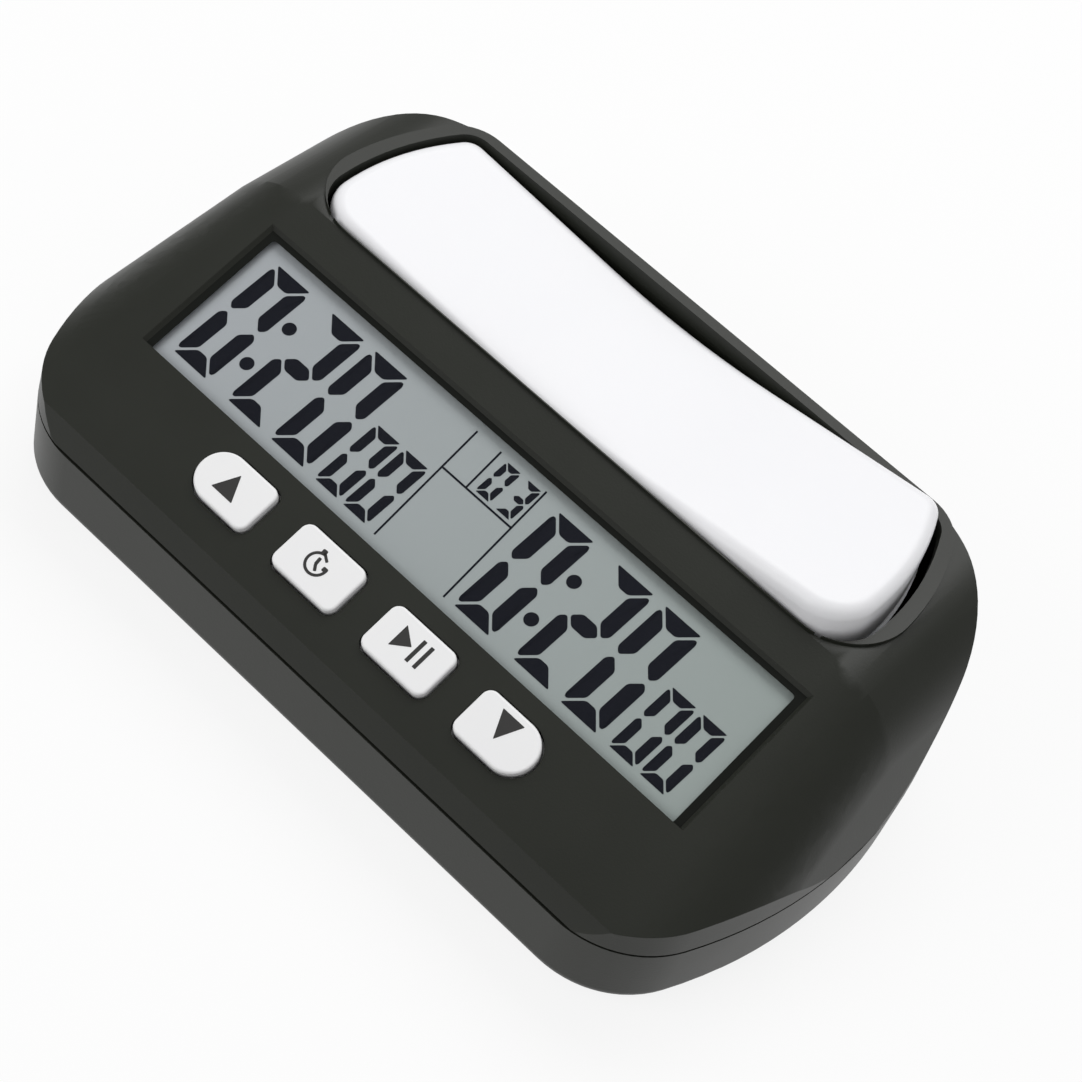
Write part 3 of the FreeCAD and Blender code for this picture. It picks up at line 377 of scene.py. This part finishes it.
def flake(name, left, right, low, high, cuts=(), soft=0.0, thick=INK_THICK):
    """A thin flat shape drawn level in millimetres: a plane trimmed along lines, then given its
    thickness. Each cut is a point and the direction of the side that goes."""
    start_clean()
    bpy.ops.mesh.primitive_plane_add(size=1.0, location=(0, 0, 0))
    piece = bpy.context.object
    piece.name = name
    bpy.ops.object.mode_set(mode="EDIT")
    bpy.ops.transform.resize(value=((right - left) * MM, (high - low) * MM, 1), center_override=(0, 0, 0))
    bpy.ops.transform.translate(value=((left + right) / 2 * MM, (low + high) / 2 * MM, 0))
    for x, y, away_x, away_y in cuts:
        away = Vector((away_x, away_y, 0)).normalized()
        bpy.ops.mesh.select_all(action="SELECT")
        bpy.ops.mesh.bisect(plane_co=(x * MM, y * MM, 0), plane_no=away, clear_outer=True, threshold=1e-6)
    bpy.ops.mesh.select_all(action="SELECT")
    bpy.ops.mesh.remove_doubles(threshold=0.01 * MM)
    if soft:
        bpy.ops.mesh.bevel(offset=soft * MM, segments=3, affect="VERTICES")
    bpy.ops.mesh.select_all(action="SELECT")
    bpy.ops.mesh.extrude_region_move(TRANSFORM_OT_translate={"value": (0, 0, thick * MM)})
    bpy.ops.mesh.select_all(action="SELECT")
    bpy.ops.mesh.normals_make_consistent(inside=False)
    bpy.ops.object.mode_set(mode="OBJECT")
    return piece


def joined(name, pieces):
    """Makes the pieces one piece of that name."""
    work_on(pieces[0])
    for piece in pieces:
        piece.select_set(True)
    if len(pieces) > 1:
        bpy.ops.object.join()
    bpy.context.object.name = name
    return bpy.context.object


def laid(piece, material, body, x=0.0, y=0.0, lift=0.0, lean=0.0):
    """Leans the drawn shape like italic print, by lean degrees, then lays it on the panel at its place."""
    slant = Matrix(((1, math.tan(math.radians(lean)), 0, 0), (0, 1, 0, 0), (0, 0, 1, 0), (0, 0, 0, 1)))
    piece.data.transform(PANEL @ Matrix.Translation((x * MM, y * MM, lift * MM)) @ slant)
    piece.data.materials.clear()
    piece.data.materials.append(material)
    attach(piece, body)
    return piece


def copied(piece, name):
    """A copy with a mesh of its own."""
    again = piece.copy()
    again.data = piece.data.copy()
    again.name = name
    bpy.context.collection.objects.link(again)
    return again


SEGMENTS = {"0": "abcdef", "2": "abged", "3": "abgcd"}
MITRE = 0.707                      # how far a mitre at 45 degrees sets a corner back, per width of the gap
NOSE = 0.35                        # how far in the segments' points meet at mid height, per stroke
SOFTNESS = 0.16                    # rounding of a segment's corners, per stroke


def figure(name, sign, wide, high, middle_y, stroke, gap):
    """One seven-segment figure, its lower left corner at the origin, with mitred ends between its
    segments. All sizes are in millimetres."""
    corner = MITRE * gap
    tip = NOSE * stroke
    shapes = {
        "a": (0, wide, high - stroke, high, [(corner, high, -1, -1), (wide - corner, high, 1, -1)]),
        "d": (0, wide, 0, stroke, [(corner, 0, -1, 1), (wide - corner, 0, 1, 1)]),
        "g": (0, wide, middle_y - stroke / 2, middle_y + stroke / 2,
              [(tip + corner, middle_y, -1, 1), (tip + corner, middle_y, -1, -1),
               (wide - tip - corner, middle_y, 1, 1), (wide - tip - corner, middle_y, 1, -1)]),
    }
    for letter, side, up in (("f", -1, 1), ("e", -1, -1), ("b", 1, 1), ("c", 1, -1)):
        left, right = (0, stroke) if side < 0 else (wide - stroke, wide)
        low, top = (middle_y, high) if up > 0 else (0, middle_y)
        outer = 0 if side < 0 else wide
        end = high if up > 0 else 0
        nose = tip if side < 0 else wide - tip
        cuts = [(outer, end - up * corner, -side, up), (outer, end - up * 0.5 * stroke, side, up),
                (nose, middle_y + up * corner, -side, -up), (nose, middle_y + up * corner, side, -up)]
        shapes[letter] = (left, right, low, top, cuts)
    parts = [flake(name + letter, *shapes[letter], soft=SOFTNESS * stroke) for letter in SEGMENTS[sign]]
    return joined(name, parts)


# Blue black and dead flat, as dark liquid crystal is.
ink = moulded("liquid crystal segment black", "191a22", "1d1e26", 0.5, 0.3, 0.0005, specular=0.08)
# Warm black, dull, a little uneven.
print_black = moulded("pad-printed black ink", "222120", "2b2a29", 0.5, 0.2, 0.002)

# The three sizes of figure, in millimetres.
BIG = dict(wide=7.2, high=19.5, middle_y=9.8, stroke=2.45, gap=0.42)
SMALL = dict(wide=4.75, high=11.7, middle_y=5.9, stroke=1.5, gap=0.3)
TINY = dict(wide=2.8, high=6.1, middle_y=3.05, stroke=0.95, gap=0.22)
models = {
    "big_zero": figure("big_zero", "0", **BIG),
    "big_two": figure("big_two", "2", **BIG),
    "small_zero": figure("small_zero", "0", **SMALL),
    "tiny_zero": figure("tiny_zero", "0", **TINY),
    "tiny_three": figure("tiny_three", "3", **TINY),
}
DOT_RADIUS = 1.05                  # millimetres
DOT_SOFT = 0.01                    # rounding of its upper edge


def colon_dot(name):
    """One round dot of a colon, its upper edge softened."""
    start_clean()
    bpy.ops.mesh.primitive_cylinder_add(vertices=40, radius=DOT_RADIUS * MM, depth=INK_THICK * MM,
                                        location=(0, 0, INK_THICK / 2 * MM))
    piece = bpy.context.object
    piece.name = name
    bpy.ops.object.mode_set(mode="EDIT")
    pick_edges(piece, lambda edge: middle(edge).z > 0.75 * INK_THICK * MM)
    bpy.ops.mesh.bevel(offset=DOT_SOFT * MM, segments=1, affect="EDGES")
    bpy.ops.object.mode_set(mode="OBJECT")
    return piece


models["dot"] = colon_dot("dot")

# The display's layout in millimetres from its middle. Both sides show the same time: each row is a
# label, a model, its left edge from the side's left end, and its foot.
FIGURE_LEAN = 2.6                  # degrees
FOOT_Y = -10.0
SIDE_LEFT = {"left": -48.1, "right": 7.55}
SIDE_ROWS = (
    ("hours", "big_zero", 0.0, FOOT_Y),
    ("tens", "big_two", 11.1, FOOT_Y),
    ("units", "big_zero", 19.8, FOOT_Y),
    ("seconds_tens", "small_zero", 28.8, FOOT_Y),
    ("seconds_units", "small_zero", 34.3, FOOT_Y),
    ("colon_top", "dot", 9.75, 3.5),
    ("colon_low", "dot", 9.35, -4.35),
)
PLACES = []
for side, left in SIDE_LEFT.items():
    for label, model, x, y in SIDE_ROWS:
        PLACES.append((side + "_" + label, model, left + x, y))
PLACES += [("stage_tens", "tiny_zero", -1.95, 3.9), ("stage_units", "tiny_three", 1.95, 3.9)]
for label, model, x, y in PLACES:
    laid(copied(models[model], "segment_" + label), ink, "case", x, y, lean=FIGURE_LEAN)
for model in models.values():
    bpy.data.objects.remove(model)

# Thin lines part the two times and frame the small figures between them.
RULE_WIDTH = 0.3
RULE_SOFT = 0.06
RULE_LEAN = -1.9                   # degrees, the other way from the figures
RULE_FOOT, RULE_TOP = -10.2, 10.5
LEVEL_Y = 3.3
LEVEL_LEFT, LEVEL_RIGHT = -7.6, 5.7
RULES = (
    ("left_divider", -7.55, RULE_FOOT),
    ("right_divider", 5.75, RULE_FOOT),
    ("short_divider", -2.95, LEVEL_Y),
)
for label, x, low in RULES:
    line = flake("rule_" + label, -RULE_WIDTH / 2, RULE_WIDTH / 2, low, RULE_TOP, soft=RULE_SOFT)
    laid(line, ink, "case", x, lean=RULE_LEAN)
line = flake("rule_level", LEVEL_LEFT, LEVEL_RIGHT, LEVEL_Y - RULE_WIDTH / 2, LEVEL_Y + RULE_WIDTH / 2,
             soft=RULE_SOFT)
laid(line, ink, "case")

# The dark border's clear opening, and how wide the border is, in millimetres from the display's middle. The
# border is painted shade of the recess walls.
MASK_LEFT, MASK_RIGHT = -49.9, 49.9
MASK_FRONT, MASK_BACK = -12.25, 11.65
MASK_WIDTH = 1.9
MASK_CORNER = 0.5                  # how much more than its width the border's outer corners are cut
MASK_THICK = 0.02


def recess_shade_border():
    """The dark border round the clear window: painted shade standing in for the shaded walls of the
    display's recess.
    """
    start_clean()
    bpy.ops.mesh.primitive_plane_add(size=1.0, location=(0, 0, 0))
    piece = bpy.context.object
    piece.name = "recess_shade_border"
    bpy.ops.object.mode_set(mode="EDIT")
    wide = MASK_RIGHT - MASK_LEFT + 2 * MASK_WIDTH
    deep = MASK_BACK - MASK_FRONT + 2 * MASK_WIDTH
    bpy.ops.transform.resize(value=(wide * MM, deep * MM, 1), center_override=(0, 0, 0))
    centre = ((MASK_LEFT + MASK_RIGHT) / 2 * MM, (MASK_FRONT + MASK_BACK) / 2 * MM, 0)
    bpy.ops.transform.translate(value=centre)
    bpy.ops.mesh.select_all(action="SELECT")
    bpy.ops.mesh.bevel(offset=(MASK_WIDTH + MASK_CORNER) * MM, segments=6, affect="VERTICES")
    bpy.ops.mesh.select_all(action="SELECT")
    bpy.ops.mesh.inset(thickness=MASK_WIDTH * MM)
    bpy.context.tool_settings.mesh_select_mode = (False, False, True)
    bpy.ops.mesh.select_all(action="DESELECT")
    for face in bmesh.from_edit_mesh(piece.data).faces:
        if face.calc_center_median().length < 5 * MM:
            face.select_set(True)
    bpy.ops.mesh.delete(type="FACE")
    bpy.ops.mesh.select_all(action="SELECT")
    bpy.ops.mesh.extrude_region_move(TRANSFORM_OT_translate={"value": (0, 0, MASK_THICK * MM)})
    bpy.ops.mesh.select_all(action="SELECT")
    bpy.ops.mesh.normals_make_consistent(inside=False)
    bpy.ops.object.mode_set(mode="OBJECT")
    return piece


# Painted shade of the recess walls: deepest black, with hardly any shine of its own under the window.
recess_shade_black = moulded("black border of painted recess shade", "10120f", "141612", 0.6, 0.2, 0.001, specular=0.1)
laid(recess_shade_border(), recess_shade_black, "case", lift=MASK_LIFT)


TRIANGLE_SOFT = 0.12


def triangle(name, width, length):
    """A triangle that points up, its base on the x axis."""
    half = width / 2
    sides = [(-half, 0, -length, half), (half, 0, length, half)]
    return flake(name, -half, half, 0, length, sides, soft=TRIANGLE_SOFT)


DASH_THICK = 0.035                 # a little above the ring that the dashes join
DASH_SOFT = 0.25                   # rounding of a dash's corners, per width


def dash(name, x0, y0, x1, y1, width):
    """A short straight stroke from one point to the other."""
    length = math.hypot(x1 - x0, y1 - y0)
    piece = flake(name, -width / 2, width / 2, 0, length, soft=DASH_SOFT * width, thick=DASH_THICK)
    turn = Matrix.Rotation(math.atan2(y1 - y0, x1 - x0) - math.pi / 2, 4, "Z")
    piece.data.transform(Matrix.Translation((x0 * MM, y0 * MM, 0)) @ turn)
    return piece


RING_SPAN = math.radians(275)      # how far round the ring goes
RING_START = math.radians(12)      # from this far above the x axis
RING_THIN = 0.1                    # millimetres of the plane that the ring is spun from


def ring_arrow(name, radius, stroke):
    """A ring open at its upper right, its two ends thickened like arrow heads, round a pair of
    clock hands."""
    start_clean()
    bpy.ops.mesh.primitive_plane_add(size=1.0, location=(0, 0, 0))
    arc = bpy.context.object
    arc.name = name + "_arc"
    bpy.ops.object.mode_set(mode="EDIT")
    bpy.ops.transform.resize(value=(stroke * MM, RING_THIN * MM, 1), center_override=(0, 0, 0))
    bpy.ops.transform.translate(value=(radius * MM, -RING_THIN / 2 * MM, 0))
    bpy.ops.mesh.select_all(action="DESELECT")
    bpy.context.tool_settings.mesh_select_mode = (False, True, False)
    for edge in bmesh.from_edit_mesh(arc.data).edges:
        if all(abs(vert.co.y) < 0.01 * MM for vert in edge.verts):
            edge.select_set(True)
    bpy.ops.mesh.spin(steps=36, angle=RING_SPAN, center=(0, 0, 0), axis=(0, 0, 1))
    bpy.ops.mesh.select_all(action="SELECT")
    bpy.ops.mesh.remove_doubles(threshold=0.001 * MM)
    bpy.ops.mesh.normals_make_consistent(inside=False)
    bpy.ops.mesh.extrude_region_move(TRANSFORM_OT_translate={"value": (0, 0, INK_THICK * MM)})
    bpy.ops.mesh.select_all(action="SELECT")
    bpy.ops.mesh.normals_make_consistent(inside=False)
    bpy.ops.object.mode_set(mode="OBJECT")
    arc.data.transform(Matrix.Rotation(RING_START, 4, "Z"))
    strokes = [
        dash(name + "_head", -0.85, 1.85, -0.05, 1.9, width=0.8),
        dash(name + "_barb", -0.35, 1.85, 0.85, 1.05, width=stroke),
        dash(name + "_tail", 1.0, 0.1, 1.8, 0.1, width=0.7),
        dash(name + "_hand", -0.25, 0.95, -0.12, -0.2, width=0.5),
        dash(name + "_short_hand", -0.15, -0.1, 0.5, -0.95, width=0.45),
    ]
    return joined(name, [arc] + strokes)


# Where each pictogram stands, in millimetres from the display's middle.
UP_PLACE = (-25.64, -21.03)
TIMER_PLACE = (-8.79, -19.13)
PLAY_PLACE = (6.31, -18.74)
DOWN_PLACE = (25.61, -16.39)
BAR_HALF_WIDTH, BAR_HALF_LENGTH = 0.3, 1.9
BARS_X = (3.4, 4.8)                # the two bars of the pause sign, right of the play triangle
BAR_SOFT = 0.08

mark = triangle("mark_up", 3.95, 3.8)
laid(mark, print_black, "up_key", *UP_PLACE, KEY_TOP)
mark = ring_arrow("mark_timer", radius=1.65, stroke=0.42)
laid(mark, print_black, "timer_key", *TIMER_PLACE, KEY_TOP)
mark = triangle("mark_play", 3.75, 2.6)
mark.data.transform(Matrix.Rotation(math.radians(-90), 4, "Z"))
bars = [flake("mark_bar", x - BAR_HALF_WIDTH, x + BAR_HALF_WIDTH, -BAR_HALF_LENGTH, BAR_HALF_LENGTH,
              soft=BAR_SOFT) for x in BARS_X]
laid(joined("mark_play_pause", [mark] + bars), print_black, "play_pause_key", *PLAY_PLACE, KEY_TOP)
mark = triangle("mark_down", 3.9, 4.0)
mark.data.transform(Matrix.Rotation(math.radians(180), 4, "Z"))
laid(mark, print_black, "down_key", *DOWN_PLACE, KEY_TOP)

for key in ("up", "timer", "play_pause", "down"):
    moulding("key_" + key, key + "_key", edge=0.08)


# ------------------------------------------------------------------ floor, light and camera
FLOOR_SIZE = 6.0                   # metres
PAPER_GLOW = 0.86                  # how far the floor is plain white where it is looked at


def paper_floor(name):
    """Matt white paper that keeps the object's soft shadow. It is clear from below, so that the
    underside can be looked at."""
    material, tree, out = new_material(name)
    path = node(tree, "ShaderNodeLightPath")
    seen = node(tree, "ShaderNodeMath", {"operation": "MAXIMUM"}, i0=path.outputs["Is Camera Ray"],
                i1=path.outputs["Is Glossy Ray"])
    seen = node(tree, "ShaderNodeMath", {"operation": "MAXIMUM"}, i0=seen.outputs[0],
                i1=path.outputs["Is Transmission Ray"])
    share = node(tree, "ShaderNodeMath", {"operation": "MULTIPLY"}, i0=seen.outputs[0], i1=PAPER_GLOW)
    paper = node(tree, "ShaderNodeBsdfDiffuse", Color=colour("f4f4f4"))
    glow = node(tree, "ShaderNodeEmission", Color=colour("ffffff"), Strength=1.0)
    mixed = node(tree, "ShaderNodeMixShader", i0=share.outputs[0], i1=paper.outputs[0], i2=glow.outputs[0])
    side = node(tree, "ShaderNodeNewGeometry")
    open_below = node(tree, "ShaderNodeBsdfTransparent", Color=colour("ffffff"))
    mixed = node(tree, "ShaderNodeMixShader", i0=side.outputs["Backfacing"], i1=mixed.outputs[0],
                 i2=open_below.outputs[0])
    tree.links.new(mixed.outputs[0], out.inputs["Surface"])
    return material


start_clean()
bpy.ops.mesh.primitive_plane_add(size=FLOOR_SIZE, location=(0, 0, 0))
floor = bpy.context.object
floor.name = "floor"
floor.data.materials.append(paper_floor("white paper floor"))

STUDIO_LIGHT = 0.44                # light from all round
world = bpy.data.worlds.new("studio")
bpy.context.scene.world = world
world.use_nodes = True
sky = world.node_tree
sky.nodes.clear()
room = node(sky, "ShaderNodeBackground", Color=colour("ffffff"), Strength=STUDIO_LIGHT)
white = node(sky, "ShaderNodeBackground", Color=colour("ffffff"), Strength=1.0)
rays = node(sky, "ShaderNodeLightPath")
backdrop = node(sky, "ShaderNodeMixShader", i0=rays.outputs["Is Camera Ray"], i1=room.outputs[0],
                i2=white.outputs[0])
world_output = node(sky, "ShaderNodeOutputWorld")
sky.links.new(backdrop.outputs[0], world_output.inputs["Surface"])


def softbox(name, place, aim, width, height, power):
    """A rectangular lamp turned to the point that it is aimed at. Sizes in metres, power in watts."""
    data = bpy.data.lights.new(name, "AREA")
    data.shape = "RECTANGLE"
    data.size = width
    data.size_y = height
    data.energy = power
    lamp = bpy.data.objects.new(name, data)
    bpy.context.collection.objects.link(lamp)
    lamp.location = place
    lamp.rotation_euler = (Vector(aim) - Vector(place)).to_track_quat("-Z", "Y").to_euler()
    return lamp


softbox("top_light", place=(-0.15, 0.5, 0.8), aim=(0, 0, 0), width=0.8, height=0.6, power=5.2)
softbox("front_light", place=(-0.4, -0.65, 0.5), aim=(0, 0, 0.02), width=0.5, height=0.4, power=1.9)

# The camera stands high in front, to the right, and is rolled so that the clock's length runs down
# to the right.
CAMERA_PLACE = Vector((105.86, -195.99, 288.79)) * MM
IMAGE_RIGHT = Vector((0.71757, 0.66210, 0.21613))
IMAGE_DOWN = Vector((0.63556, -0.49555, -0.59202))
camera_data = bpy.data.cameras.new("camera")
camera = bpy.data.objects.new("camera", camera_data)
bpy.context.collection.objects.link(camera)
camera_data.lens = 82.635
camera_data.sensor_width = 36.0
camera_data.clip_start = 0.01
camera_data.clip_end = 10.0
ahead = IMAGE_RIGHT.cross(IMAGE_DOWN)
turn = Matrix((IMAGE_RIGHT, -IMAGE_DOWN, -ahead)).transposed().to_4x4()
camera.matrix_world = Matrix.Translation(CAMERA_PLACE) @ turn
bpy.context.scene.camera = camera
bpy.context.scene.view_settings.view_transform = "Standard"
